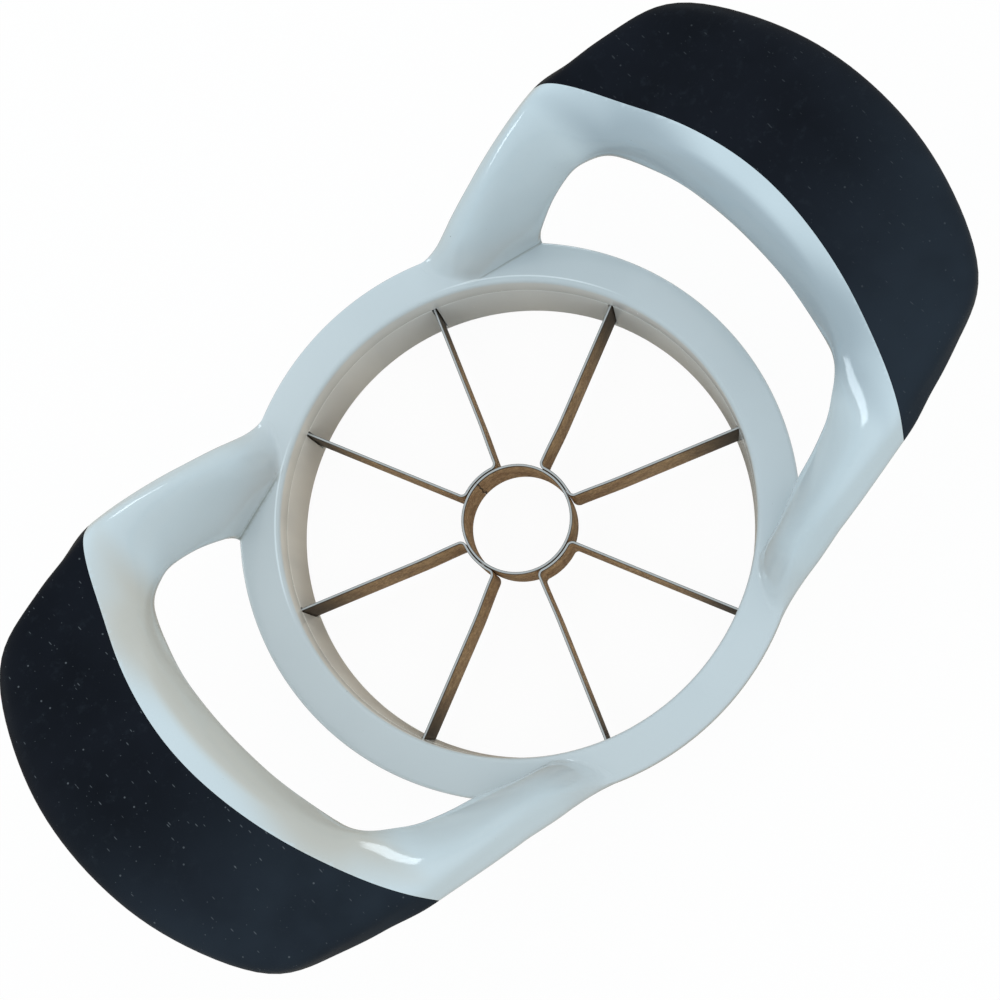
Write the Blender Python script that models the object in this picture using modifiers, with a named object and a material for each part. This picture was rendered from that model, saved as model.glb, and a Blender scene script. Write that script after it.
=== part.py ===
# Hand-held apple slicer: eight radial blades and a core ring in a round frame,
# with a raised soft-grip handle on each side. One rigid tool, nothing moves.
# Metres, +Z up. Origin: the ring's axis at the plane that the tool rests on.
# X runs from handle to handle, the cutting edges point down.

import math

import bmesh
import bpy
from mathutils import Vector

# Fits and overruns
clearance = 0.0003
overrun = 0.0020

# Blade ring, the lower insert that holds the blades, and the bore above it
bore_radius_bottom = 0.0461
bore_draft = 0.0011
insert_wall = 0.0042
insert_height = 0.0131

# Ring of the frame, a skirt round the insert under a flat flange
skirt_wall = 0.0020
flange_overhang = 0.0030
flange_thickness = 0.0030
top_wall = 0.0051
lip_radius = 0.0008
rim_radius = 0.0006

# Blades and core ring, one gauge of stainless strip
sheet = 0.0007
blade_lift = 0.0023
blade_seat_wall = 0.0006
blade_bend_radius = 0.0013
edge_grind = 0.0009
edge_flat = 0.0002
core_radius = 0.01134
core_seam = 0.0004
core_seam_angle = math.radians(94)
blade_count = 8
strip_count = 4

# Handles
hand_opening = 0.0081
handle_depth = 0.0343
side_inset = 0.0081
crossbar_height_inner = 0.0590
crossbar_slope = 0.0025
arm_thickness = 0.0090
crossbar_thickness = 0.0142

# Soft grips
grip_depth = 0.0260
grip_front_radius = 0.0850
grip_wall = 0.0030
tongue_lap = 0.0010

# Sizes that follow from these
bore_radius_top = bore_radius_bottom + bore_draft
insert_radius = bore_radius_bottom + insert_wall
pocket_radius = insert_radius + clearance
skirt_radius = pocket_radius + skirt_wall
flange_radius = skirt_radius + flange_overhang
ring_height = insert_height + top_wall
blade_end_radius = insert_radius - blade_seat_wall
hand_opening_reach = flange_radius + hand_opening
handle_reach = hand_opening_reach + handle_depth
handle_half_width = flange_radius - side_inset
crossbar_height_outer = crossbar_height_inner + crossbar_slope
grip_start = handle_reach - grip_depth
grip_front_centre = grip_start - grip_front_radius

# Mesh fineness
ring_segments = 96
core_segments = 64
corner_segments = 4
bend_segments = 4
arc_segments = 6
section_points = 16
steps_between_stations = 3
section_roundness = 0.62

# Stations of an arm where it grows out of the ring: first the side at the hand
# opening, then the outer side, along X and Y as shares of the flange radius and
# along Z of the ring's height. The last two are shares of the arm's thickness,
# towards the ring's axis and away from it.
root_shares = (
    (0.68, 0.645, 0.27, 0.45, 0.82, 0.27, 0.50, 0.50),
    (0.745, 0.665, 0.89, 0.375, 0.875, 0.90, 0.75, 0.55),
    (0.76, 0.66, 1.02, 0.42, 0.88, 1.05, 0.90, 0.70),
    (0.77, 0.66, 1.17, 0.475, 0.87, 1.27, 1.00, 0.90),
)

# Stations from there to the middle of the handle, in the same order: along X from
# the root to the mid crossbar, along Y of the half width, along Z from the ring's
# top to the crossbar. The last two are shares between arm and crossbar thickness,
# above and below the middle of the section.
station_shares = (
    (0.22, 0.78, 0.147, 0.07, 1.00, 0.261, 0.00, 0.12),
    (0.44, 0.79, 0.349, 0.18, 0.99, 0.475, -0.07, 0.00),
    (0.675, 0.74, 0.566, 0.30, 0.98, 0.688, -0.10, 0.00),
    (0.84, 0.63, 0.682, 0.44, 0.96, 0.858, 0.00, 0.20),
    (0.91, 0.51, 0.798, 0.665, 0.90, 0.886, 0.30, 0.55),
    (0.95, 0.38, 0.899, 0.845, 0.775, 0.886, 0.75, 0.90),
    (0.98, 0.20, 0.971, 0.97, 0.39, 0.915, 0.95, 1.00),
    (1.00, 0.00, 1.00, 1.00, 0.00, 1.00, 1.00, 1.00),
)


def clear_scene():
    for old in list(bpy.data.objects):
        bpy.data.objects.remove(old, do_unlink=True)


def new_collection(name):
    collection = bpy.data.collections.new(name)
    bpy.context.scene.collection.children.link(collection)
    return collection


def material(name, color, roughness, metallic):
    made = bpy.data.materials.new(name)
    made.use_nodes = True
    shader = made.node_tree.nodes["Principled BSDF"]
    shader.inputs["Base Color"].default_value = (*color, 1)
    shader.inputs["Roughness"].default_value = roughness
    shader.inputs["Metallic"].default_value = metallic
    return made


def add_object(name, mesh, collection, finish=None):
    made = bpy.data.objects.new(name, mesh)
    collection.objects.link(made)
    if finish:
        mesh.materials.append(finish)
    else:
        made.hide_render = True
        made.display_type = "WIRE"
    return made


def boolean(target, operation, other):
    cut = target.modifiers.new(other.name, "BOOLEAN")
    cut.operation = operation
    cut.solver = "EXACT"
    cut.object = other


def shade(mesh, angle=math.radians(35)):
    mesh.shade_smooth()
    mesh.set_sharp_from_angle(angle=angle)


def arc_points(center_x, center_z, radius, start, end, segments):
    angles = (start + (end - start) * step / segments for step in range(segments + 1))
    return [(center_x + radius * math.cos(a), center_z + radius * math.sin(a)) for a in angles]


def turned(name, profile, segments, collection, finish=None):
    """A ring turned about Z from a closed profile that runs down its outer side."""
    mesh = bpy.data.meshes.new(name)
    count = len(profile)
    edges = [(i, (i + 1) % count) for i in range(count)]
    mesh.from_pydata([(x, 0, z) for x, z in profile], edges, [])
    made = add_object(name, mesh, collection, finish)
    screw = made.modifiers.new("turn", "SCREW")
    screw.steps = segments
    screw.render_steps = segments
    screw.use_merge_vertices = True
    screw.merge_threshold = 0.00001
    screw.use_smooth_shade = True
    return made


def cylinder(name, radius, bottom, top, x, segments, collection):
    mesh = bpy.data.meshes.new(name)
    bm = bmesh.new()
    bmesh.ops.create_cone(bm, cap_ends=True, segments=segments, radius1=radius, radius2=radius, depth=top - bottom)
    bmesh.ops.translate(bm, verts=bm.verts, vec=(x, 0, (top + bottom) / 2))
    bm.to_mesh(mesh)
    bm.free()
    return add_object(name, mesh, collection)


def box(name, size, center, turn, collection):
    """A box cutter that lies along the ray at the angle turn."""
    mesh = bpy.data.meshes.new(name)
    bm = bmesh.new()
    bmesh.ops.create_cube(bm, size=1)
    bmesh.ops.scale(bm, verts=bm.verts, vec=size)
    bmesh.ops.translate(bm, verts=bm.verts, vec=center)
    bm.to_mesh(mesh)
    bm.free()
    made = add_object(name, mesh, collection)
    made.rotation_euler.z = turn
    return made


def bore_radius(height):
    """The bore tapers a little from the lip down to the rest plane."""
    share = height / (ring_height - lip_radius)
    return bore_radius_bottom + (bore_radius_top - bore_radius_bottom) * share


def root_row(shares, side):
    """Inner point, outer point and the two half thicknesses of a section at the ring."""
    inner_x, inner_y, inner_z, outer_x, outer_y, outer_z, above, below = shares
    inner = (flange_radius * inner_x, flange_radius * inner_y * side, ring_height * inner_z)
    outer = (flange_radius * outer_x, flange_radius * outer_y * side, ring_height * outer_z)
    return [*inner, *outer, arm_thickness / 2 * above, arm_thickness / 2 * below]


def station_row(shares, side):
    """The same for a section of the arm or the crossbar."""
    inner_x, inner_y, inner_z, outer_x, outer_y, outer_z, above, below = shares
    inner_start, outer_start = (flange_radius * root_shares[0][i] for i in (0, 3))
    spread = (crossbar_thickness - arm_thickness) / 2
    inner = (
        inner_start + (hand_opening_reach - inner_start) * inner_x,
        handle_half_width * inner_y * side,
        ring_height + (crossbar_height_inner - ring_height) * inner_z,
    )
    outer = (
        outer_start + (handle_reach - outer_start) * outer_x,
        handle_half_width * outer_y * side,
        ring_height + (crossbar_height_outer - ring_height) * outer_z,
    )
    return [*inner, *outer, arm_thickness / 2 + spread * above, arm_thickness / 2 + spread * below]


def handle_rows(side):
    """The sections of one arm from its root to the one before the mid crossbar."""
    at_the_ring = [root_row(shares, side) for shares in root_shares]
    return at_the_ring + [station_row(shares, side) for shares in station_shares[:-1]]


def smooth_rows(rows, steps):
    """Rows on the smooth curve through the given rows, each span in equal steps."""
    last = len(rows) - 1
    made = []
    for i in range(last):
        before, start, end, after = rows[max(i - 1, 0)], rows[i], rows[i + 1], rows[min(i + 2, last)]
        for step in range(steps):
            t = step / steps
            made.append([
                (2 * b + (c - a) * t + (2 * a - 5 * b + 4 * c - d) * t**2 + (3 * b - a - 3 * c + d) * t**3) / 2
                for a, b, c, d in zip(before, start, end, after)
            ])
    return made + [rows[last]]


def rounded(value):
    return math.copysign(abs(value) ** section_roundness, value)


def handle_sections(inset, skipped):
    """Closed sections of a handle, drawn in by the inset, less those skipped at each end."""
    middle = station_row(station_shares[-1], 1)
    rows = smooth_rows(handle_rows(1) + [middle] + handle_rows(-1)[::-1], steps_between_stations)
    rows = rows[skipped:len(rows) - skipped]
    middles = [(Vector(row[:3]) + Vector(row[3:6])) / 2 for row in rows]
    sections = []
    for i, row in enumerate(rows):
        path = middles[min(i + 1, len(rows) - 1)] - middles[max(i - 1, 0)]
        across = (Vector(row[3:6]) - Vector(row[:3])) / 2
        up = path.cross(across).normalized()
        across *= max(across.length - inset, sheet) / across.length
        section = []
        for k in range(section_points):
            angle = math.tau * k / section_points
            c, s = rounded(math.cos(angle)), rounded(math.sin(angle))
            thick = max((row[6] if s > 0 else row[7]) - inset, sheet)
            section.append(middles[i] + across * c + up * thick * s)
        sections.append(section)
    return sections


def tongue_row():
    """The last section of an arm that lies wholly behind the front of the grip."""
    reach = grip_front_radius - tongue_lap
    for i, section in enumerate(handle_sections(0, 0)):
        if max(math.hypot(point.x - grip_front_centre, point.y) for point in section) > reach:
            return i - 1


def handle_solid(name, side, inset, skipped, collection, finish=None):
    """A loft through the sections of one handle, closed at both ends."""
    mesh = bpy.data.meshes.new(name)
    bm = bmesh.new()
    loops = []
    for section in handle_sections(inset, skipped):
        loops.append([bm.verts.new((point.x * side, point.y, point.z)) for point in section])
    for one, two in zip(loops, loops[1:]):
        for k in range(section_points):
            after = (k + 1) % section_points
            bm.faces.new((one[k], one[after], two[after], two[k]))
    bm.faces.new(loops[0])
    bm.faces.new(loops[-1])
    bmesh.ops.triangulate(bm, faces=bm.faces, quad_method="FIXED")
    bmesh.ops.recalc_face_normals(bm, faces=bm.faces)
    bm.to_mesh(mesh)
    bm.free()
    shade(mesh)
    return add_object(name, mesh, collection, finish)


def ring_profile():
    """Frame ring: skirt outside, flat flange on top, rounded lip at the bore."""
    shoulder = ring_height - flange_thickness
    rim = arc_points(flange_radius - rim_radius, ring_height - rim_radius, rim_radius, 0, math.pi / 2, corner_segments)
    lip = arc_points(
        bore_radius_top + lip_radius, ring_height - lip_radius, lip_radius, math.pi / 2, math.pi, corner_segments
    )
    ledge = insert_height + clearance
    up_the_outside = [(skirt_radius, 0), (flange_radius, shoulder)] + rim
    over_the_top = lip + [(bore_radius(ledge), ledge), (pocket_radius, ledge), (pocket_radius, 0)]
    return (up_the_outside + over_the_top)[::-1]


def make_frame(parts, cutters, finish):
    """White moulding: ring, arms, crossbars and the tongues inside the grips."""
    frame = turned("frame", ring_profile(), ring_segments, parts, finish)
    top = crossbar_height_outer + crossbar_thickness + overrun
    root_top = (insert_height + clearance + ring_height) / 2
    root_limit = cylinder(
        "root_limit", (skirt_radius + pocket_radius) / 2, 0, root_top, 0, ring_segments, cutters
    )
    for side, name in ((1, "right"), (-1, "left")):
        body = handle_solid(f"{name}_handle_body", side, 0, 0, cutters)
        limit = cylinder(
            f"{name}_frame_limit", grip_front_radius, -overrun, top, grip_front_centre * side,
            ring_segments * 2, cutters,
        )
        boolean(body, "INTERSECT", limit)
        tongue = handle_solid(f"{name}_tongue", side, grip_wall, tongue_row(), cutters)
        boolean(body, "UNION", tongue)
        boolean(body, "DIFFERENCE", root_limit)
        boolean(frame, "UNION", body)


def make_grip(name, side, parts, cutters, finish):
    """Soft sleeve round the tongue, flush with the frame where it starts."""
    top = crossbar_height_outer + crossbar_thickness + overrun
    grip = handle_solid(f"{name}_grip", side, 0, 0, parts, finish)
    limit = cylinder(
        f"{name}_grip_limit", grip_front_radius + clearance, -overrun, top, grip_front_centre * side,
        ring_segments * 2, cutters,
    )
    boolean(grip, "DIFFERENCE", limit)
    room = handle_solid(f"{name}_grip_room", side, grip_wall - clearance, tongue_row(), cutters)
    boolean(grip, "DIFFERENCE", room)


def make_insert(parts, cutters, finish):
    """Blade ring: a plain ring with a slot for each blade end, open at the top."""
    profile = [
        (insert_radius, insert_height),
        (insert_radius, 0),
        (bore_radius(0), 0),
        (bore_radius(insert_height), insert_height),
    ]
    insert = turned("blade_ring", profile, ring_segments, parts, finish)
    inner = bore_radius(0) - overrun
    outer = blade_end_radius + clearance
    bottom = blade_lift - clearance
    top = insert_height + overrun
    for i in range(blade_count):
        slot = box(
            f"slot_{i + 1}",
            (outer - inner, sheet + 2 * clearance, top - bottom),
            ((outer + inner) / 2, 0, (top + bottom) / 2),
            math.tau * (i + 0.5) / blade_count,
            cutters,
        )
        boolean(insert, "DIFFERENCE", slot)


def make_core(parts, cutters, finish):
    """Core ring: a rolled band with a butt seam, ground to an edge at the bottom."""
    inner = core_radius - sheet
    bottom = blade_lift
    profile = [
        (core_radius, insert_height),
        (core_radius, bottom + edge_grind),
        (inner + edge_flat, bottom),
        (inner, bottom),
        (inner, insert_height),
    ]
    core = turned("core_ring", profile, core_segments, parts, finish)
    seam = box(
        "core_seam",
        (sheet + 2 * overrun, core_seam, insert_height - blade_lift + 2 * overrun),
        (core_radius - sheet / 2, 0, (insert_height + blade_lift) / 2),
        core_seam_angle,
        cutters,
    )
    boolean(core, "DIFFERENCE", seam)


def blade_path():
    """Middle line of a strip, seen from above: in along one spoke, round, and out."""
    wrap = core_radius + clearance + sheet / 2
    spoke_angle = math.pi / blade_count
    spoke = Vector((math.cos(spoke_angle), math.sin(spoke_angle)))
    normal = Vector((-spoke.y, spoke.x))
    # The bend touches the spoke on one side and the wrap round the core on the other
    reach = math.sqrt((wrap + blade_bend_radius) ** 2 - blade_bend_radius**2)
    center = spoke * reach - normal * blade_bend_radius
    touch = math.atan2(center.y, center.x)
    half = [spoke * blade_end_radius]
    start = spoke_angle + math.pi / 2
    end = touch + math.pi
    for step in range(bend_segments + 1):
        angle = start + (end - start) * step / bend_segments
        half.append(center + Vector((math.cos(angle), math.sin(angle))) * blade_bend_radius)
    arc = []
    for step in range(1, arc_segments * 2):
        angle = touch * (1 - step / arc_segments)
        arc.append(Vector((math.cos(angle), math.sin(angle))) * wrap)
    mirrored = [Vector((point.x, -point.y)) for point in reversed(half)]
    return half + arc + mirrored


def make_blade(number, parts, finish):
    """One bent strip that makes two spokes, thinned to an edge along its bottom."""
    name = f"blade_strip_{number}"
    turn = math.tau * (number - 1) / strip_count
    path = blade_path()
    levels = (insert_height, blade_lift + edge_grind, blade_lift)
    mesh = bpy.data.meshes.new(name)
    bm = bmesh.new()
    top_row = [bm.verts.new((point.x, point.y, levels[0])) for point in path]
    row_edges = [bm.edges.new(pair) for pair in zip(top_row, top_row[1:])]
    for above, below in zip(levels, levels[1:]):
        grown = bmesh.ops.extrude_edge_only(bm, edges=row_edges)["geom"]
        row_verts = [item for item in grown if isinstance(item, bmesh.types.BMVert)]
        row_edges = [
            item for item in grown
            if isinstance(item, bmesh.types.BMEdge) and all(vert in row_verts for vert in item.verts)
        ]
        bmesh.ops.translate(bm, verts=row_verts, vec=(0, 0, below - above))
    bm.verts.index_update()
    edge_numbers = {vert.index for vert in row_verts}
    bm.to_mesh(mesh)
    bm.free()
    blade = add_object(name, mesh, parts, finish)
    blade.rotation_euler.z = turn
    group = blade.vertex_groups.new(name="full_thickness")
    group.add([i for i in range(len(mesh.vertices)) if i not in edge_numbers], 1, "REPLACE")
    solidify = blade.modifiers.new("sheet", "SOLIDIFY")
    solidify.thickness = sheet
    solidify.offset = 0
    solidify.vertex_group = group.name
    solidify.thickness_vertex_group = edge_flat / sheet


def main():
    clear_scene()
    parts = new_collection("apple_slicer")
    cutters = new_collection("cutters")
    white = material("white_abs", (0.72, 0.78, 0.80), 0.25, 0)
    black = material("black_tpe", (0.012, 0.014, 0.02), 0.6, 0)
    steel = material("stainless", (0.55, 0.53, 0.5), 0.3, 1)
    make_frame(parts, cutters, white)
    make_insert(parts, cutters, white)
    make_grip("right", 1, parts, cutters, black)
    make_grip("left", -1, parts, cutters, black)
    make_core(parts, cutters, steel)
    for number in range(1, strip_count + 1):
        make_blade(number, parts, steel)


main()
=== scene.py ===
# The looks of the apple slicer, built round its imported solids
import math

import bmesh
import bpy
import numpy as np
from mathutils import Matrix, Vector


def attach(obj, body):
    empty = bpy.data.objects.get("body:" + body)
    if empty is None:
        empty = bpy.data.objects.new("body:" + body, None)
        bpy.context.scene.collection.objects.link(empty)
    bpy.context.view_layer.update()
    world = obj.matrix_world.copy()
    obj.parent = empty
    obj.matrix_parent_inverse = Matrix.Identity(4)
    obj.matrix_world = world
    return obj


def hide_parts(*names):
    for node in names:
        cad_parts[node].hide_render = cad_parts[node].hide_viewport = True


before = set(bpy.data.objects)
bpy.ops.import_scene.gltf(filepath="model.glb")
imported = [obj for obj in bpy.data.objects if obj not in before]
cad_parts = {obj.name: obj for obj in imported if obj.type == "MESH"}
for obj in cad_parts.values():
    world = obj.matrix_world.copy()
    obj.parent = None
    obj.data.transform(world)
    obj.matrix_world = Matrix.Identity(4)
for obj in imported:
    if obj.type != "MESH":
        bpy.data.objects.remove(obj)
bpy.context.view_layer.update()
mm = 0.001
print("frame loaded")


class Value:
    # One output socket of a shader tree, so that sums on it are plain Python

    def __init__(self, finish, socket):
        self.finish = finish
        self.socket = socket

    def __add__(self, other):
        return self.finish.math("ADD", self, other)

    def __sub__(self, other):
        return self.finish.math("SUBTRACT", self, other)

    def __rsub__(self, other):
        return self.finish.math("SUBTRACT", other, self)

    def __mul__(self, other):
        return self.finish.math("MULTIPLY", self, other)

    def __truediv__(self, other):
        return self.finish.math("DIVIDE", self, other)

    def __rtruediv__(self, other):
        return self.finish.math("DIVIDE", other, self)

    __radd__ = __add__
    __rmul__ = __mul__

    def abs(self):
        return self.finish.math("ABSOLUTE", self)

    def power(self, other):
        return self.finish.math("POWER", self, other)

    def band(self, low, high, start=0.0, end=1.0):
        # Smooth step from start at low to end at high
        settings = dict(interpolation_type="SMOOTHSTEP")
        inputs = {"Value": self, "From Min": low, "From Max": high, "To Min": start, "To Max": end}
        return self.finish.add("ShaderNodeMapRange", settings, inputs)


class Finish:
    # A material whose nodes are all added by one method

    def __init__(self, name):
        self.material = bpy.data.materials.new(name)
        self.material.use_nodes = True
        self.tree = self.material.node_tree
        self.shader = self.tree.nodes["Principled BSDF"]
        self.place = self.add("ShaderNodeTexCoord", out="Object")

    def add(self, kind, settings=None, inputs=None, out=0):
        node = self.tree.nodes.new(kind)
        for key, setting in (settings or {}).items():
            setattr(node, key, setting)
        for key, value in (inputs or {}).items():
            self.plug(node.inputs[key], value)
        return Value(self, node.outputs[out])

    def plug(self, socket, value):
        if isinstance(value, Value):
            self.tree.links.new(value.socket, socket)
        elif isinstance(value, tuple) and socket.type == "RGBA":
            socket.default_value = (*value, 1)
        else:
            socket.default_value = value

    def dress(self, **values):
        # Sets or links sockets of the shader, named with underscores for blanks
        for key, value in values.items():
            self.plug(self.shader.inputs[key.replace("_", " ")], value)

    def math(self, operation, *values):
        return self.add("ShaderNodeMath", dict(operation=operation), dict(enumerate(values)))

    def split(self, vector=None):
        source = {"Vector": vector or self.place}
        return [self.add("ShaderNodeSeparateXYZ", None, source, out=axis) for axis in "XYZ"]

    def stretched(self, scale, turn=(0, 0, 0)):
        inputs = {"Vector": self.place, "Scale": scale, "Rotation": tuple(math.radians(a) for a in turn)}
        return self.add("ShaderNodeMapping", None, inputs)

    def noise(self, scale, detail, rough, vector=None):
        # Scale is in waves per millimetre
        inputs = {"Vector": vector or self.place, "Scale": scale / mm, "Detail": detail, "Roughness": rough}
        return self.add("ShaderNodeTexNoise", None, inputs)

    def cells(self, spacing, out, vector=None):
        inputs = {"Vector": vector or self.place, "Scale": 1 / (spacing * mm)}
        return self.add("ShaderNodeTexVoronoi", None, inputs, out)

    def specks(self, spacing, size, share, vector=None):
        # Small round marks in about this share of the cells, spacing and size in millimetres
        mark = self.cells(spacing, "Distance", vector).band(size / spacing, size / spacing * 0.5)
        luck = self.add("ShaderNodeSeparateColor", None, {"Color": self.cells(spacing, "Color", vector)})
        return mark * self.math("LESS_THAN", luck, share)

    def mix(self, factor, one, two, kind="MIX"):
        settings = dict(data_type="RGBA", blend_type=kind)
        return self.add("ShaderNodeMix", settings, {0: factor, 6: one, 7: two}, out=2)

    def tint(self, color, by):
        return self.mix(1.0, color, by, "MULTIPLY")

    def bump(self, height, strength):
        # Height is in millimetres
        inputs = {"Height": height, "Distance": mm, "Strength": strength}
        return self.add("ShaderNodeBump", None, inputs, out="Normal")


# The white moulding, in millimetres: the ring that carries the arms
ring = dict(
    lipRadius=47.3,  # inside edge of the flat top
    lipRound=1.15,
    rimRadius=55.6,
    rimRound=0.7,
    skirtRadius=52.6,  # outside at the bottom
    skirtChamfer=0.3,
    shoulder=15.2,  # where the skirt stops flaring
    height=18.2,
    ledge=13.1,  # the blade carrier starts under here
    draft=0.3,  # the wall comes in by this from the lip to the ledge
    pocket=50.6,
    seamGap=0.03,
    seamRound=0.05,
    segments=320,
)

# A handle from its root to its middle: inner edge, outer edge, half thickness above and below,
# how far the bulge leans to the outer side, how square the outer and inner sides are (1 is round),
# and how wide the slope down to the inner edge is
handle = dict(
    stations=(
        (36.2, 34.2, 4.0, 22.8, 43.0, 4.0, 1.6, 1.0, 0.2, 0.70, 0.62, 0.6),
        (41.6, 36.6, 14.5, 24.2, 48.4, 14.5, 4.4, 1.4, 0.8, 1.50, 0.60, 0.6),
        (42.4, 36.5, 18.2, 24.8, 48.9, 19.5, 4.6, 2.4, 0.8, 1.50, 0.56, 0.6),
        (43.5, 36.6, 21.6, 27.7, 48.5, 24.3, 4.6, 3.3, 0.6, 1.30, 0.52, 0.6),
        (45.2, 36.7, 26.0, 31.4, 48.0, 30.0, 4.4, 4.2, 0.3, 0.95, 0.50, 0.6),
        (49.5, 36.5, 33.6, 38.7, 47.5, 38.8, 3.9, 4.2, 0.1, 0.62, 0.48, 0.8),
        (54.8, 34.8, 41.0, 46.9, 47.2, 46.8, 3.7, 4.3, 0.0, 0.56, 0.48, 1.6),
        (57.8, 32.2, 44.4, 53.4, 46.9, 52.0, 4.1, 4.6, 0.0, 0.58, 0.55, 2.6),
        (59.6, 29.7, 46.4, 58.7, 46.4, 54.9, 4.6, 5.2, 0.08, 0.60, 0.70, 3.4),
        (60.9, 26.4, 48.0, 65.0, 44.9, 56.0, 5.0, 5.6, 0.14, 0.60, 0.80, 4.0),
        (61.9, 22.4, 50.0, 74.0, 42.7, 57.2, 5.4, 6.0, 0.14, 0.60, 0.85, 4.4),
        (63.0, 15.2, 54.4, 87.0, 37.0, 57.8, 6.4, 6.8, 0.06, 0.60, 0.80, 4.8),
        (63.5, 8.8, 57.3, 95.7, 18.7, 59.3, 6.8, 7.1, 0.0, 0.60, 0.68, 5.0),
        (63.7, 0.0, 59.1, 98.0, 0.0, 60.8, 6.9, 7.1, 0.0, 0.60, 0.68, 5.0),
    ),
    steps=8,  # rows between two stations
    sectionPoints=96,
    halfTurnSteps=360,  # of a section's curve, before it is cut into even steps
    undersidePower=0.66,  # the underside is never rounder than this
    slopeBow=1.7,
    slopePower=0.6,
)

# The joint between the white arms and a black grip
joint = dict(
    frontRadius=85.0,  # the grip starts on this arc
    frontReach=72.0,
    gap=0.08,
    roundness=0.18,
    cutterSegments=900,
    cutterDepth=120.0,
    cutterHeight=50.0,
    nearness=0.02,  # edges this close to the arc belong to the joint
    leastAngle=0.5,
)

# Where the fillet under an arm runs out on the ring, seen from above, with what lies on the
# skirt folded up level with the top: along the crease, round the lip side, over the rim and back
foot = dict(
    outline=(
        (42.9, 35.8), (39.5, 36.5), (36.4, 37.3), (33.0, 38.2), (30.0, 38.9),
        (27.2, 39.6), (24.9, 41.7), (23.0, 45.0), (21.6, 49.6), (23.0, 55.0),
        (29.0, 59.5), (38.0, 58.0), (46.5, 51.0), (50.0, 43.5), (47.0, 37.6),
    ),
    centre=(34.6, 43.4),
    curveSteps=24,
    least=0.25,  # the fillet is never narrower than this
    fullness=0.6,  # of a round fillet
    climb=2.2,  # how much further it reaches up the arm
    mostRise=0.6,  # and the most of the way there that it takes
    tangentShare=0.9,
    tangentStep=0.2,
    rows=14,
    clearHeight=12.0,  # above this the arm is left alone
    rowsAbove=12,
    sink=0.6,
)

blades = dict(
    strips=4,  # each is bent into two spokes
    top=13.1,
    bottom=1.9,
    thick=0.52,
    cornerRound=0.13,
    cornerBow=0.3,
    edgeThick=0.2,
    grind=0.9,
    coreOuter=11.15,
    coreShift=(-0.12, 0.3),  # the core sits a little off the ring's centre
    shiftFrom=22.0,
    shiftTo=13.0,
    wrapGap=0.12,
    bend=1.1,
    bendStart=14.0,
    end=48.0,
    straightPoints=18,
    bendPoints=11,
    wrapPoints=25,
    bandPoints=145,
    seamAngle=94,
    seamGap=0.06,
)

# The lower white ring, which holds the spokes' ends
carrier = dict(
    step=0.02,  # its wall stands in by this from the wall above
    clearance=0.1,
    chamfer=0.2,
    bottomRadius=46.2,
    bottomRound=0.25,
    seamRound=0.05,
    slotRadius=46.9,
    slotLength=5.0,
    slotWidth=1.1,
    slotHeight=12.0,
    slotDrop=0.2,
)


def looseObject(name, bm):
    # An object that is only cut, or cuts another
    mesh = bpy.data.meshes.new(name)
    bm.to_mesh(mesh)
    bm.free()
    made = bpy.data.objects.new(name, mesh)
    bpy.context.scene.collection.objects.link(made)
    return made


def finishPiece(name, bm, material, node, smoothAngle=40):
    mesh = bpy.data.meshes.new(name)
    bmesh.ops.scale(bm, verts=bm.verts, vec=(mm, mm, mm))
    bm.to_mesh(mesh)
    bm.free()
    mesh.shade_smooth()
    mesh.set_sharp_from_angle(angle=math.radians(smoothAngle))
    mesh.materials.clear()
    mesh.materials.append(material)
    piece = bpy.data.objects.new(name, mesh)
    bpy.context.scene.collection.objects.link(piece)
    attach(piece, "root")
    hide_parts(node)
    print(name, len(mesh.polygons), "faces")


def cutBy(body, cutter, operation):
    cut = body.modifiers.new("cut", "BOOLEAN")
    cut.operation = operation
    cut.solver = "EXACT"
    cut.object = cutter
    bpy.context.view_layer.update()
    made = bpy.data.meshes.new_from_object(body.evaluated_get(bpy.context.evaluated_depsgraph_get()))
    body.modifiers.remove(cut)
    return made


def arcPoints(centreX, centreZ, radius, start, end, count=6):
    angles = np.radians(np.linspace(start, end, count))
    return [(centreX + radius * math.cos(a), centreZ + radius * math.sin(a)) for a in angles]


def curvePoint(a, b, c, d, t):
    # Smooth curve from b to c, which also heeds the points before and after them
    square = 2 * a - 5 * b + 4 * c - d
    cube = 3 * b - a - 3 * c + d
    return (2 * b + (c - a) * t + square * t**2 + cube * t**3) / 2


def spinProfile(bm, profile, segments):
    # Turns a closed outline round the Z axis
    verts = [bm.verts.new((x, 0, z)) for x, z in profile]
    edges = [bm.edges.new((a, b)) for a, b in zip(verts, verts[1:] + verts[:1])]
    bmesh.ops.spin(
        bm, geom=verts + edges, cent=(0, 0, 0), axis=(0, 0, 1), dvec=(0, 0, 0),
        angle=math.tau, steps=segments, use_merge=True, use_duplicate=False,
    )
    bmesh.ops.recalc_face_normals(bm, faces=bm.faces)


def ringOutline():
    s = ring
    rim = arcPoints(s["rimRadius"] - s["rimRound"], s["height"] - s["rimRound"], s["rimRound"], 0, 90)
    lip = arcPoints(s["lipRadius"] + s["lipRound"], s["height"] - s["lipRound"], s["lipRound"], 90, 180)
    ledge = s["ledge"] + s["seamGap"]
    wall = s["lipRadius"] - s["draft"]
    seam = arcPoints(wall + s["seamRound"], ledge + s["seamRound"], s["seamRound"], 180, 270, 4)
    chamfer = s["skirtChamfer"]
    skirt = [(s["skirtRadius"] - chamfer, 0), (s["skirtRadius"], chamfer), (s["rimRadius"], s["shoulder"])]
    return skirt + rim + lip + seam + [(s["pocket"], ledge), (s["pocket"], 0)]


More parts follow.
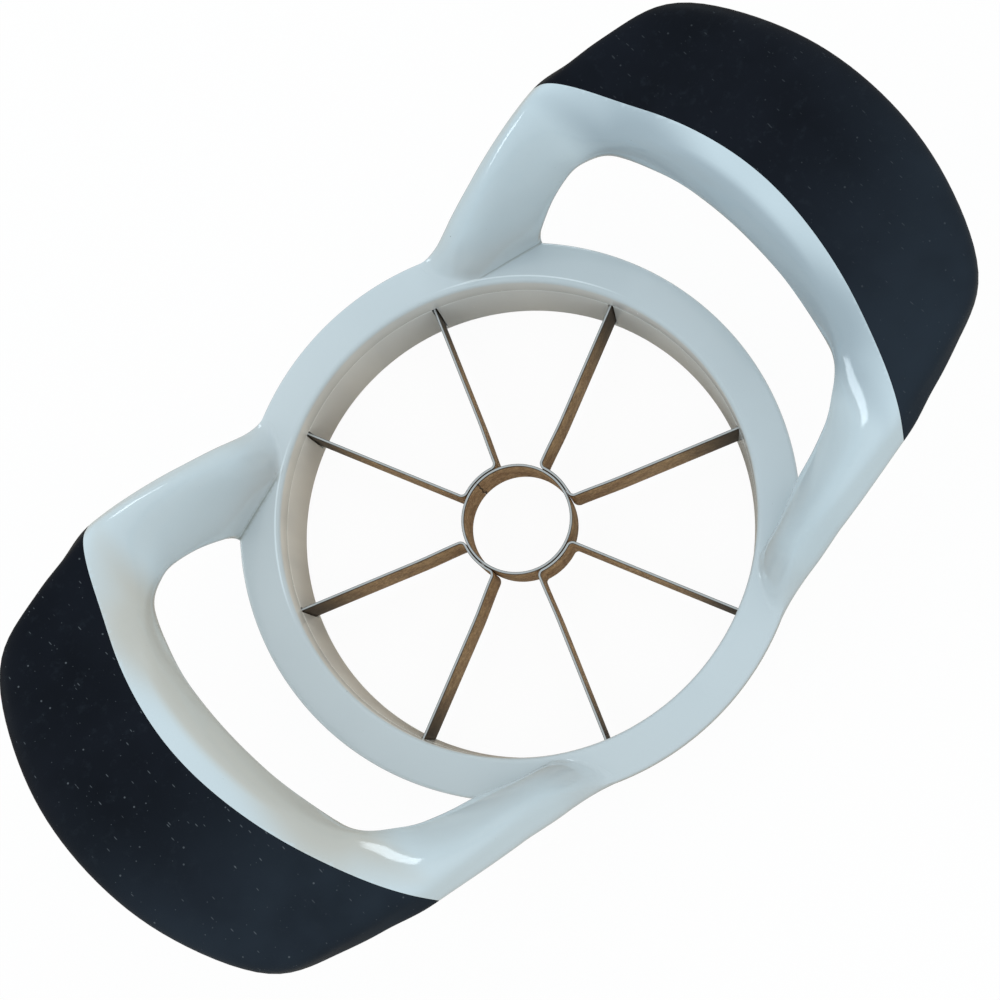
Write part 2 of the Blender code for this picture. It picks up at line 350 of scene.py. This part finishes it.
def ringDistance(points):
    # Signed distance to the outside of the ring, with its rim rounded
    s = ring
    radius = np.hypot(points[..., 0], points[..., 1])
    z = points[..., 2]
    skirt = s["skirtRadius"] + (s["rimRadius"] - s["skirtRadius"]) * np.clip(z / s["shoulder"], 0, 1)
    side = radius - skirt + s["rimRound"]
    top = z - s["height"] + s["rimRound"]
    outside = np.hypot(np.maximum(side, 0), np.maximum(top, 0))
    return outside + np.minimum(np.maximum(side, top), 0) - s["rimRound"]


def ringGradient(points, reach=0.01):
    steps = [ringDistance(points + reach * axis) - ringDistance(points - reach * axis) for axis in np.eye(3)]
    gradient = np.stack(steps, axis=-1)
    return gradient / np.linalg.norm(gradient, axis=-1)[..., None]


def smoothStations():
    # Rows on a smooth curve through the stations and their mirror image
    half = np.array(handle["stations"], float)
    mirror = np.ones(half.shape[1])
    mirror[[1, 4]] = -1
    stations = np.vstack([half, half[-2::-1] * mirror])
    steps = handle["steps"]
    last = len(stations) - 1
    made = []
    for i in range(last):
        near = [stations[min(max(i + k, 0), last)] for k in (-1, 0, 1, 2)]
        made += [curvePoint(*near, t) for t in np.arange(steps) / steps]
    rows = np.array(made + [stations[last]])
    weights = np.bartlett(steps + 1)
    reach = len(weights) // 2
    padded = np.pad(rows, ((reach, reach), (0, 0)), mode="edge")
    return sum(w * padded[i:i + len(rows)] for i, w in enumerate(weights)) / weights.sum()


def sectionOutline(halfWidth, above, below, lean, outerPower, innerPower, slope):
    # Closed outline of one section in even steps, from its outer edge over the top and back below
    s = handle
    halfTurn = s["halfTurnSteps"]
    angle = np.linspace(0, math.tau, 2 * halfTurn + 1)
    cosine, sine = np.cos(angle), np.sin(angle)
    outer = (cosine + 1) / 2
    outer = outer * outer * (3 - 2 * outer)
    power = innerPower + (outerPower - innerPower) * outer
    power = np.where(sine > 0, power, np.minimum(power, s["undersidePower"]))
    x = np.sign(cosine) * np.abs(cosine) ** power
    y = np.sign(sine) * np.abs(sine) ** power * np.where(sine > 0, above * (1 + lean * x), below)
    x = x * halfWidth
    inwards = 1 - np.clip((x + halfWidth) / slope, 0, 1)
    y = y * np.where(sine > 0, (1 - inwards ** s["slopeBow"]) ** s["slopePower"], 1)
    count = s["sectionPoints"] // 2
    outline = []
    for part in (slice(0, halfTurn + 1), slice(halfTurn, 2 * halfTurn + 1)):
        steps = np.hypot(np.diff(x[part]), np.diff(y[part]))
        run = np.concatenate([[0], np.cumsum(steps)])
        at = np.arange(count) / count * run[-1]
        outline.append(np.stack([np.interp(at, run, x[part]), np.interp(at, run, y[part])], axis=1))
    return np.vstack(outline)


def handleGrid():
    # Points of the right handle, row by row from the root at +Y to its middle
    rows = smoothStations()
    inner, outer = rows[:, 0:3], rows[:, 3:6]
    middle = (inner + outer) / 2
    across = (outer - inner) / 2
    halfWidth = np.linalg.norm(across, axis=1)
    across /= halfWidth[:, None]
    up = np.cross(np.gradient(middle, axis=0), across)
    up /= np.linalg.norm(up, axis=1)[:, None]
    grid = []
    for i, row in enumerate(rows):
        outline = sectionOutline(halfWidth[i], *row[6:])
        grid.append(middle[i] + outline[:, :1] * across[i] + outline[:, 1:] * up[i])
    return np.array(grid[:len(rows) // 2 + 1])


def unfolded(point):
    # Plan position of a point of the ring, the drop below the top added outwards
    radius = math.hypot(point[0], point[1])
    reach = min(radius, ring["rimRadius"]) + ring["height"] - point[2]
    return point[:2] * reach / radius


def folded(plan):
    # The point of the ring's outside that unfolds to a plan position
    reach = np.linalg.norm(plan)
    drop = max(reach - ring["rimRadius"], 0)
    point = np.array([*plan * (reach - drop) / reach, ring["height"] - drop])
    for _ in range(4):
        point -= ringDistance(point) * ringGradient(point)
    return point


def footReach():
    # The fillet's outline as directions and distances from its centre
    points = np.array(foot["outline"], float)
    steps = foot["curveSteps"]
    curve = []
    for i in range(len(points)):
        near = [points[(i + k) % len(points)] for k in (-1, 0, 1, 2)]
        curve += [curvePoint(*near, t) for t in np.arange(steps) / steps]
    away = np.array(curve) - foot["centre"]
    direction = np.arctan2(away[:, 1], away[:, 0])
    order = np.argsort(direction)
    return direction[order], np.linalg.norm(away, axis=1)[order]


def rootedRows(grid):
    # The lowest rows are bent out into a fillet that runs out on the ring
    s = foot
    clear = int(np.argmax(ringDistance(grid).min(axis=1) > s["clearHeight"]))
    directions, distances = footReach()
    centre = np.array(s["centre"])
    share = np.arange(s["rows"]) / s["rows"]
    shareAbove = np.arange(s["rowsAbove"]) / s["rowsAbove"]
    columns = []
    for k in range(grid.shape[1]):
        line = grid[:clear + 1, k]
        run = np.concatenate([[0], np.cumsum(np.linalg.norm(np.diff(line, axis=0), axis=1))])
        gap = ringDistance(line)
        below = clear - int(np.argmax(gap[::-1] < 0))
        crossing = np.interp(0, gap[below:below + 2], run[below:below + 2])

        def onLine(at):
            return np.array([np.interp(at, run, line[:, axis]) for axis in range(3)])

        away = unfolded(onLine(crossing)) - centre
        reach = np.linalg.norm(away)
        outline = np.interp(math.atan2(away[1], away[0]), directions, distances, period=math.tau)
        width = max(outline - reach, s["least"])
        end = folded(centre + away * (reach + width) / reach)
        inwards = folded(centre + away * (reach + width * s["tangentShare"]) / reach) - end
        inwards /= np.linalg.norm(inwards)
        rise = min(width * s["climb"], (run[-1] - crossing) * s["mostRise"])
        start = crossing + rise
        top = onLine(start)
        along = onLine(start + s["tangentStep"]) - onLine(start - s["tangentStep"])
        along /= np.linalg.norm(along)
        bends = (end, end + inwards * width * s["fullness"], top - along * rise * s["fullness"], top)
        column = [end - s["sink"] * ringGradient(end)]
        for t in share:
            weights = ((1 - t) ** 3, 3 * t * (1 - t) ** 2, 3 * t**2 * (1 - t), t**3)
            column.append(sum(w * p for w, p in zip(weights, bends)))
        column += [onLine(start + (run[-1] - start) * t) for t in shareAbove]
        columns.append(column)
    return np.array(columns).transpose(1, 0, 2), clear


def wrapGrid(bm, grid):
    # A flat grid is laid on the rows of points and its two long edges are joined
    rows, columns = grid.shape[:2]
    made = bmesh.ops.create_grid(bm, x_segments=columns, y_segments=rows - 1, size=1)["verts"]
    closed = np.concatenate([grid, grid[:, :1]], axis=1)
    for vert in made:
        column = round((vert.co.x + 1) / 2 * columns)
        row = round((vert.co.y + 1) / 2 * (rows - 1))
        vert.co = closed[row, column]
    bmesh.ops.remove_doubles(bm, verts=made, dist=1e-5)
    bmesh.ops.holes_fill(bm, edges=[e for e in bm.edges if e.is_boundary], sides=0)
    bmesh.ops.recalc_face_normals(bm, faces=bm.faces)


def handleObject(side, grid):
    bm = bmesh.new()
    wrapGrid(bm, grid * (side, side, 1))
    return looseObject("handleBody", bm)


def cutHandle(bm, body, side, keepFrame):
    # Adds the frame's part of a handle to a mesh, or the grip's
    s = joint
    centre = (s["frontReach"] - s["frontRadius"]) * side
    radius = s["frontRadius"] + (0 if keepFrame else s["gap"])
    limit = bmesh.new()
    bmesh.ops.create_cone(
        limit, cap_ends=True, segments=s["cutterSegments"],
        radius1=radius, radius2=radius, depth=s["cutterDepth"],
    )
    bmesh.ops.translate(limit, verts=limit.verts, vec=(centre, 0, s["cutterHeight"]))
    cutter = looseObject("limit", limit)
    made = cutBy(body, cutter, "INTERSECT" if keepFrame else "DIFFERENCE")
    bpy.data.objects.remove(cutter)
    part = bmesh.new()
    part.from_mesh(made)
    jointEdges = []
    for edge in part.edges:
        away = max(abs(math.hypot(v.co.x - centre, v.co.y) - radius) for v in edge.verts)
        paired = len(edge.link_faces) == 2
        if away < s["nearness"] and paired and edge.calc_face_angle() > s["leastAngle"]:
            jointEdges.append(edge)
    bmesh.ops.bevel(
        part, geom=jointEdges, offset=s["roundness"], offset_type="OFFSET", affect="EDGES",
        segments=3, profile=0.5, material=-1, clamp_overlap=True,
    )
    part.to_mesh(made)
    part.free()
    bm.from_mesh(made)
    bpy.data.meshes.remove(made)


def shiftCore(bm):
    # Everything near the core moves with it, the far ends of the spokes stay
    s = blades
    for vert in bm.verts:
        share = (s["shiftFrom"] - math.hypot(vert.co.x, vert.co.y)) / (s["shiftFrom"] - s["shiftTo"])
        share = min(max(share, 0), 1)
        share = share * share * (3 - 2 * share)
        vert.co += Vector((*s["coreShift"], 0)) * share


def onCircle(angle, radius):
    return Vector((math.cos(angle), math.sin(angle))) * radius


def stripPath():
    # Middle line of a bent strip: in along one spoke, round the core ring and out again
    s = blades
    wrap = s["coreOuter"] + s["wrapGap"] + s["thick"] / 2
    spokeAngle = math.tau / s["strips"] / 4
    spoke = onCircle(spokeAngle, 1)
    side = Vector((-spoke.y, spoke.x))
    centre = spoke * math.sqrt((wrap + s["bend"]) ** 2 - s["bend"] ** 2) - side * s["bend"]
    touch = math.atan2(centre.y, centre.x)
    half = [spoke * reach for reach in np.linspace(s["end"], s["bendStart"], s["straightPoints"])]
    turns = np.linspace(spokeAngle + math.pi / 2, touch + math.pi, s["bendPoints"])
    half += [centre + onCircle(a, s["bend"]) for a in turns]
    arc = [onCircle(a, wrap) for a in np.linspace(touch, -touch, s["wrapPoints"])[1:-1]]
    return half + arc + [Vector((p.x, -p.y)) for p in reversed(half)]


def topOutline(start, end):
    # Upper side of a strip's section with its two corners rounded
    r, bow = blades["cornerRound"], blades["cornerBow"]
    corner = [(0, r), (bow * r, bow * r), (r, 0)]
    left = [(start + x, blades["top"] - drop) for x, drop in corner]
    return left + [(end - x, blades["top"] - drop) for x, drop in reversed(corner)]


def bladeStrip(number, material):
    s = blades
    path = stripPath()
    run = [after - before for before, after in zip([path[0]] + path, path + [path[-1]])]
    ahead = [(a + b).normalized() for a, b in zip(run, run[1:])]
    half, thin = s["thick"] / 2, s["edgeThick"] / 2
    low = s["bottom"] + s["grind"]
    outline = topOutline(-half, half) + [(half, low), (thin, s["bottom"]), (-thin, s["bottom"]), (-half, low)]
    turn = Matrix.Rotation(math.tau * (number - 1) / s["strips"], 2)
    grid = []
    for point, way in zip(path, ahead):
        side = Vector((-way.y, way.x))
        grid.append([(*(turn @ (point + side * offset)), z) for offset, z in outline])
    bm = bmesh.new()
    wrapGrid(bm, np.array(grid))
    shiftCore(bm)
    finishPiece(f"bladeStrip{number}", bm, material, f"blade_strip_{number}")


def coreBand(material):
    s = blades
    outer, inner = s["coreOuter"], s["coreOuter"] - s["thick"]
    edge = [(outer, s["bottom"] + s["grind"]), (inner + s["edgeThick"], s["bottom"]), (inner, s["bottom"])]
    outline = topOutline(inner, outer) + edge
    seam = s["seamGap"] / outer
    start = math.radians(s["seamAngle"]) + seam / 2
    grid = []
    for angle in np.linspace(start, start + math.tau - seam, s["bandPoints"]):
        grid.append([(x * math.cos(angle), x * math.sin(angle), z) for x, z in outline])
    bm = bmesh.new()
    wrapGrid(bm, np.array(grid))
    shiftCore(bm)
    finishPiece("coreBand", bm, material, "core_ring")


def bladeCarrier(material):
    s = carrier
    top = ring["ledge"]
    inner = ring["lipRadius"] - ring["draft"] - s["step"]
    outer = ring["pocket"] - s["clearance"]
    outline = [
        (outer, top), (outer, s["chamfer"]), (outer - s["chamfer"], 0),
        (s["bottomRadius"] + s["bottomRound"], 0), (s["bottomRadius"], s["bottomRound"]),
        (inner, top - s["seamRound"]), (inner + s["seamRound"], top),
    ]
    solid = bmesh.new()
    spinProfile(solid, outline, ring["segments"])
    slots = bmesh.new()
    spokes = 2 * blades["strips"]
    slotCentre = blades["bottom"] - s["slotDrop"] + s["slotHeight"] / 2
    for i in range(spokes):
        made = bmesh.ops.create_cube(slots, size=1)["verts"]
        bmesh.ops.scale(slots, verts=made, vec=(s["slotLength"], s["slotWidth"], s["slotHeight"]))
        bmesh.ops.translate(slots, verts=made, vec=(s["slotRadius"], 0, slotCentre))
        turn = Matrix.Rotation(math.tau * (i + 0.5) / spokes, 3, "Z")
        bmesh.ops.rotate(slots, verts=made, cent=(0, 0, 0), matrix=turn)
    body, cutter = looseObject("carrierBody", solid), looseObject("slots", slots)
    made = cutBy(body, cutter, "DIFFERENCE")
    bpy.data.objects.remove(body)
    bpy.data.objects.remove(cutter)
    bm = bmesh.new()
    bm.from_mesh(made)
    bpy.data.meshes.remove(made)
    finishPiece("bladeCarrier", bm, material, "blade_ring")


# Settings of the finishes: colours are linear, places and sizes in millimetres, noises give waves
# per millimetre, detail and roughness, marks give spacing, size and share, bands give off and on
plastic = dict(
    cloud=(0.035, 2, 0.5),
    shades=((0.565, 0.65, 0.69), (0.60, 0.685, 0.725)),
    leftWarmLight=(0.63, 0.68, 0.69),  # painted light: the left side is lit a little warmer
    leftBand=(30.0, -60.0),
    leftShare=0.5,
    armLightTint=(1.04, 1.09, 1.12),  # painted light: the arms are lit brighter than the ring
    armLightBand=(20.0, 34.0),
    slopeShadeTints=((0.64, 0.66, 0.68), (0.90, 0.78, 0.68)),  # painted shade on the right and left slope to a hand opening, warmer on the left
    slopeFacing=(-0.22, -0.66),
    slopeReach=(54.0, 60.0),
    slopeHeight=(38.0, 44.0),
    sideBand=(10.0, -10.0),
    wallRadius=(47.9, 47.2),
    wallHeight=(18.0, 16.8),
    wallNoise=(0.10, 2, 0.5),
    wallStretch=(1, 1, 0.2),
    # painted light on the inner wall: brighter and warmer, as if lit from below, cooler on the right
    wallLitShades=((0.84, 0.81, 0.74), (0.97, 0.93, 0.84)),
    wallRightCoolLight=(0.70, 0.76, 0.78),
    wallRightBand=(-30.0, 20.0),
    wallRightShare=0.7,
    # painted highlight: a thin pale line along the lip
    lipHighlightRadius=48.42,
    lipHighlightDrift=0.005,
    lipHighlightWidth=(0.2, 0.1),
    lipHighlightReach=(14.0, 26.0),
    lipHighlightSide=(19.0, 28.0),
    lipHighlightColor=(0.80, 0.89, 0.93),
    specks=(5.5, 0.16, 0.5),
    fineSpecks=(2.3, 0.07, 0.3),
    speckShade=(0.09, 0.085, 0.075),
    creasePoint=(42.1, 36.1),  # the crease under an arm runs straight through here
    creaseSlope=0.269,
    # a duller brown band along the creases of the left handle, broken by noise
    creaseBrownWidth=(1.1, 0.0),
    creaseBrownReach=((25.5, 29.0), (44.5, 42.0)),
    creaseBrownHeight=((17.5, 18.1), (20.5, 18.6)),
    creaseBrownNoise=(1.1, 3, 0.7),
    creaseBrownLeft=(0.0, -5.0),
    creaseBrownUpper=(0.0, 5.0, 0.35, 1.0),
    creaseBrownColor=(0.20, 0.19, 0.11),
    # painted shadow: a thin dark line along each crease
    creaseWidth=(0.5, 0.1),
    creaseReach=((27.5, 30.0), (44.0, 42.0)),
    creaseHeight=((18.0, 18.15), (18.9, 18.4)),
    creaseShadowColor=(0.22, 0.24, 0.22),
    hairNoise=(0.35, 2, 0.5),
    ripple=(0.09, 1, 0.4),
    pits=(1.6, 2, 0.6),
)

rubber = dict(
    cloud=(0.05, 3, 0.6),
    shades=((0.0050, 0.0068, 0.0105), (0.0075, 0.0100, 0.0155)),
    sheenAndDustNoise=(0.045, 3, 0.6),
    # painted sheen: bluish light on the -Y side and at the far ends
    sheenBand=(6.0, -42.0),
    endSheenReach=(84.0, 96.0),
    endSheenBand=(22.0, -12.0),
    sheenColor=(0.026, 0.038, 0.053),
    rub=(0.45, 4, 0.7),
    rubShade=(0.020, 0.027, 0.036),
    dust=(1.9, 0.24, 0.3),
    fineDust=(0.9, 0.12, 0.25),
    lint=((15, (1.0, 0.12, 0.3)), (75, (1.0, 0.12, 0.22)), (130, (1.0, 0.12, 0.3))),  # turned in degrees
    lintStretch=(1, 0.22, 1),
    dustiest=(-60.0, 60.0, 1.0, 0.35),
    dustShade=(0.15, 0.17, 0.19),
    grain=(4.0, 2, 0.6),
    swell=(0.07, 1, 0.4),
    shine=0.04,
)

stainless = dict(
    blotch=(0.35, 4, 0.65),
    grain=(1.8, 3, 0.8),
    # painted brown reflection on the faces
    shades=((0.30, 0.165, 0.072), (0.56, 0.365, 0.185)),
    lightGrain=(0.80, 0.60, 0.36),
    darkGrain=(0.13, 0.07, 0.032),
    # painted shadow towards the spoke ends
    wallBand=(30.0, 46.5),
    spokeEndShadow=(0.02, 0.016, 0.013),
    topBand=(12.3, 12.85),
    topShade=(0.02, 0.017, 0.015),
    buttWaves=1.6,
    buttWidth=(0.22, 0.1),
    buttRadius=(11.6, 11.4),
    buttShade=(0.015, 0.012, 0.01),
    edgeBand=(13.07, 13.09),
    edgeShade=(0.44, 0.46, 0.46),
    pits=(2.2, 3, 0.7),
)


def within(value, bands):
    # Full between two bands, one going on and one going off
    rising, falling = bands
    return value.band(*rising) * value.band(*falling)


def whitePlastic():
    # Glossy moulded plastic: fine waves, dark specks, hairlines, a duller brown band along some creases, and
    # painted light: a warmer left side, brighter arms, shaded slopes, a lit inner wall, a lip highlight and a
    # shadow line in the creases
    s = plastic
    f = Finish("glossyWhitePlastic")
    x, y, z = (axis / mm for axis in f.split())
    radius = (x * x + y * y).power(0.5)
    farX, farY = x.abs(), y.abs()
    cloud = f.noise(*s["cloud"])
    color = f.mix(cloud.band(0.3, 0.7), *s["shades"])
    # Painted light: the left side is tinted warmer, as if lit by warmer light
    color = f.mix(x.band(*s["leftBand"]) * s["leftShare"], color, s["leftWarmLight"])
    # Painted light: everything above the ring is brightened and made bluer
    color = f.mix(z.band(*s["armLightBand"]), color, f.tint(color, s["armLightTint"]))

    # Painted shade: surfaces that face down into a hand opening are darkened, warmer on the left
    facing = f.split(f.add("ShaderNodeNewGeometry", out="Normal"))[0] * f.math("SIGN", x)
    slope = facing.band(*s["slopeFacing"]) * farX.band(*s["slopeReach"]) * z.band(*s["slopeHeight"])
    slopeShadeTint = f.mix(x.band(*s["sideBand"]), *s["slopeShadeTints"])
    color = f.mix(slope, color, f.tint(color, slopeShadeTint))

    # Painted light: the inner wall is brightened and warmed as if lit from the floor below, cooler on the
    # right, with streaks
    wall = radius.band(*s["wallRadius"]) * z.band(*s["wallHeight"])
    streaks = f.noise(*s["wallNoise"], f.stretched(s["wallStretch"]))
    wallLitColor = f.mix(streaks.band(0.3, 0.7), *s["wallLitShades"])
    wallLitColor = f.mix(x.band(*s["wallRightBand"]) * s["wallRightShare"], wallLitColor, s["wallRightCoolLight"])
    color = f.mix(wall, color, wallLitColor)

    # Painted highlight: a thin pale line along the lip on the +Y side
    lipHighlight = (radius - s["lipHighlightRadius"] - x * s["lipHighlightDrift"]).abs().band(*s["lipHighlightWidth"])
    lipHighlight = lipHighlight * y.band(*s["lipHighlightReach"]) * farX.band(*s["lipHighlightSide"])
    color = f.mix(lipHighlight, color, s["lipHighlightColor"])

    specks = f.specks(*s["specks"]) * 0.8
    fine = f.specks(*s["fineSpecks"]) * 0.5
    color = f.mix(f.math("MAXIMUM", specks, fine) * (1 - wall), color, s["speckShade"])

    pointX, pointY = s["creasePoint"]
    crease = (farY - pointY + (farX - pointX) * s["creaseSlope"]).abs() / math.hypot(1, s["creaseSlope"])
    # A darker, browner and duller band along the creases of the left handle, broken by noise
    brownPatches = f.noise(*s["creaseBrownNoise"]).band(0.3, 0.8) * x.band(*s["creaseBrownLeft"]) * y.band(*s["creaseBrownUpper"])
    creaseBrown = crease.band(*s["creaseBrownWidth"]) * within(farX, s["creaseBrownReach"]) * within(z, s["creaseBrownHeight"]) * brownPatches
    color = f.mix(creaseBrown * 0.5, color, s["creaseBrownColor"])
    # Painted shadow: a thin dark line along the crease where each arm meets the ring
    creaseShadow = crease.band(*s["creaseWidth"]) * within(farX, s["creaseReach"]) * within(z, s["creaseHeight"])
    color = f.mix(creaseShadow * 0.6, color, s["creaseShadowColor"])

    hair = f.noise(*s["hairNoise"], f.stretched((1, 14, 1), (0, 0, 38)))
    hairTwo = f.noise(*s["hairNoise"], f.stretched((16, 1, 1), (0, 0, 20)))
    scratch = hair.band(0.66, 0.72) + hairTwo.band(0.67, 0.72)
    relief = f.noise(*s["ripple"]) * 0.25 + f.noise(*s["pits"]) * 0.006 - scratch * 0.004
    f.dress(
        Base_Color=color,
        Roughness=0.07 + cloud * 0.04 + scratch * 0.1 + creaseBrown * 0.4 + wall * 0.03,
        Normal=f.bump(relief, 0.35),
        IOR=1.5,
    )
    return f.material


def blackRubber():
    # Satin moulded rubber with dust, lint, faint rub marks and a painted bluish sheen on the -Y side and the
    # far ends
    s = rubber
    f = Finish("softBlackRubber")
    x, y, z = (axis / mm for axis in f.split())
    cloud = f.noise(*s["cloud"])
    sheenAndDustNoise = f.noise(*s["sheenAndDustNoise"])
    color = f.mix(cloud.band(0.3, 0.7), *s["shades"])
    # Painted sheen: paler bluish colour on the -Y side and at the far -Y ends of the grips
    sheen = y.band(*s["sheenBand"]) * sheenAndDustNoise.band(0.2, 0.6, 0.5, 1.0)
    end = x.abs().band(*s["endSheenReach"]) * y.band(*s["endSheenBand"])
    color = f.mix(sheen * 0.75 + end * 0.2, color, s["sheenColor"])
    color = f.mix(f.noise(*s["rub"]).band(0.52, 0.8) * 0.4, color, s["rubShade"])

    dust = f.specks(*s["dust"]) * 0.6 + f.specks(*s["fineDust"]) * 0.4
    for turn, marks in s["lint"]:
        dust = dust + f.specks(*marks, f.stretched(s["lintStretch"], (0, 0, turn))) * 0.5
    dust = f.math("MINIMUM", dust, 0.7) * x.band(*s["dustiest"])
    color = f.mix(dust * sheenAndDustNoise.band(0.2, 0.55, 0.3, 1.0), color, s["dustShade"])

    relief = f.noise(*s["grain"]) * 0.012 + f.noise(*s["swell"]) * 0.12 + dust * 0.03
    f.dress(
        Base_Color=color,
        Roughness=0.44 + cloud * 0.1 + sheenAndDustNoise.band(0.4, 0.8) * 0.1 + dust * 0.3,
        Normal=f.bump(relief, 0.5),
        Specular_IOR_Level=s["shine"],
    )
    return f.material


def steelWithBrownReflection():
    # Thin stainless strip with a painted brown reflection on its faces, painted shadow towards the spoke ends
    # and bright worn edges
    s = stainless
    f = Finish("steelWithBrownReflection")
    x, y, z = (axis / mm for axis in f.split())
    radius = (x * x + y * y).power(0.5)
    blotch = f.noise(*s["blotch"])
    grain = f.noise(*s["grain"])
    # Painted reflection: the faces are brown as if reflecting a brown table, with grain
    faceColor = f.mix(blotch.band(0.3, 0.7), *s["shades"])
    faceColor = f.mix(grain.band(0.5, 0.66) * 0.5, faceColor, s["lightGrain"])
    faceColor = f.mix(grain.band(0.5, 0.34) * 0.6, faceColor, s["darkGrain"])
    # Painted shadow: the spokes darken towards their ends at the ring wall
    faceColor = f.mix(radius.band(*s["wallBand"]) * 0.9, faceColor, s["spokeEndShadow"])
    faceColor = f.mix(z.band(*s["topBand"]) * 0.85, faceColor, s["topShade"])

    # The core ring's two ends meet on a wavy dark line
    turn = f.math("ARCTAN2", y, x) - math.radians(blades["seamAngle"])
    line = turn * (blades["coreOuter"] - blades["thick"]) + (blotch - 0.5) * s["buttWaves"]
    butt = line.abs().band(*s["buttWidth"]) * radius.band(*s["buttRadius"])
    faceColor = f.mix(butt * 0.9, faceColor, s["buttShade"])

    edge = z.band(*s["edgeBand"])
    f.dress(
        Base_Color=f.mix(edge, faceColor, s["edgeShade"]),
        Metallic=edge * 0.65 + 0.25,
        Roughness=0.42 + blotch * 0.15 - edge * 0.15,
        Normal=f.bump(f.noise(*s["pits"]) * 0.02 + grain * 0.01, 0.4),
    )
    return f.material


white = whitePlastic()
black = blackRubber()
steel = steelWithBrownReflection()
print("materials done")

halfGrid = handleGrid()
rooted, clearRow = rootedRows(halfGrid)
halfHandle = np.concatenate([rooted, halfGrid[clearRow:]])
wholeHandle = np.concatenate([halfHandle, halfHandle[-2::-1] * (1, -1, 1)])
handles = {side: handleObject(side, wholeHandle) for side in (1, -1)}
print("handle rows", len(wholeHandle))

shell = bmesh.new()
spinProfile(shell, ringOutline(), ring["segments"])
for side, body in handles.items():
    cutHandle(shell, body, side, True)
finishPiece("frameShell", shell, white, "frame")
for side, body in handles.items():
    label = "right" if side > 0 else "left"
    grip = bmesh.new()
    cutHandle(grip, body, side, False)
    finishPiece(label + "GripSkin", grip, black, label + "_grip")
    bpy.data.objects.remove(body)
bladeCarrier(white)
for number in range(1, blades["strips"] + 1):
    bladeStrip(number, steel)
coreBand(steel)
print("pieces done")


# A pale floor that the camera sees as white, with a faint shadow on it, and an even sky
studio = dict(
    floorSize=6.0,
    floorGap=0.0002,
    floorColor=(0.96, 0.96, 0.955),
    bounceColor=(0.60, 0.53, 0.45),  # what the floor throws back at the object
    whiteShare=0.95,
    zenithColor=(0.92, 0.975, 1.0),
    horizonColor=(0.93, 0.95, 0.95),
    zenithStrength=1.0,
    horizonStrength=0.72,
    skyBand=(0.0, 0.65),
)

# Two windows a metre away, by direction in degrees, size in metres and radiance
windows = (
    dict(name="leftWindow", azimuth=134, elevation=6, width=0.21, height=0.25, glow=7.0),
    dict(name="rightWindow", azimuth=46, elevation=6, width=0.21, height=0.25, glow=7.0),
)
windowColor = (0.82, 0.93, 1.0)

view = dict(
    place=(-0.00579, -0.09521, 0.4286),
    angles=(10.33, 8.95, -43.88),
    lens=77.4,
    sensor=36,
)


def makeFloor():
    s = studio
    bpy.ops.mesh.primitive_plane_add(size=s["floorSize"], location=(0, 0, -s["floorGap"]))
    floor = bpy.context.object
    floor.name = "floor"
    f = Finish("paleFloor")
    seen = f.add("ShaderNodeLightPath", out="Is Camera Ray")
    f.dress(Base_Color=f.mix(seen, s["bounceColor"], s["floorColor"]), Roughness=0.9)
    glow = f.add("ShaderNodeEmission", None, {"Color": (1.0, 1.0, 1.0), "Strength": 1.0})
    body = Value(f, f.shader.outputs[0])
    mixed = f.add("ShaderNodeMixShader", None, {0: seen * s["whiteShare"], 1: body, 2: glow})
    f.plug(f.tree.nodes["Material Output"].inputs["Surface"], mixed)
    floor.data.materials.append(f.material)


class Sky(Finish):
    # The world's tree takes nodes in the same way

    def __init__(self, world):
        self.tree = world.node_tree
        self.place = self.add("ShaderNodeTexCoord", out="Generated")


def makeSky():
    s = studio
    world = bpy.data.worlds.new("studio")
    bpy.context.scene.world = world
    world.use_nodes = True
    sky = Sky(world)
    background = world.node_tree.nodes["Background"]
    seen = sky.add("ShaderNodeLightPath", out="Is Camera Ray")
    height = sky.split()[2].band(*s["skyBand"])
    color = sky.mix(height, s["horizonColor"], s["zenithColor"])
    strength = height * (s["zenithStrength"] - s["horizonStrength"]) + s["horizonStrength"]
    sky.plug(background.inputs["Color"], sky.mix(seen, color, (1.0, 1.0, 1.0)))
    sky.plug(background.inputs["Strength"], strength + seen * (1 - strength))


def makeWindow(name, azimuth, elevation, width, height, glow):
    light = bpy.data.lights.new(name, "AREA")
    light.shape = "RECTANGLE"
    light.size = width
    light.size_y = height
    light.energy = glow * math.pi * width * height
    light.color = windowColor
    turn, tilt = math.radians(azimuth), math.radians(elevation)
    lamp = bpy.data.objects.new(name, light)
    lamp.location = (math.cos(turn) * math.cos(tilt), math.sin(turn) * math.cos(tilt), math.sin(tilt))
    lamp.rotation_euler = (math.pi / 2 - tilt, 0, turn + math.pi / 2)
    bpy.context.scene.collection.objects.link(lamp)


def makeCamera():
    camera = bpy.data.cameras.new("camera")
    camera.sensor_width = view["sensor"]
    camera.lens = view["lens"]
    eye = bpy.data.objects.new("camera", camera)
    eye.location = view["place"]
    eye.rotation_euler = tuple(math.radians(a) for a in view["angles"])
    bpy.context.scene.collection.objects.link(eye)
    bpy.context.scene.camera = eye


makeFloor()
makeSky()
for window in windows:
    makeWindow(**window)
makeCamera()
print("studio done")

bpy.context.scene.view_settings.view_transform = "Standard"
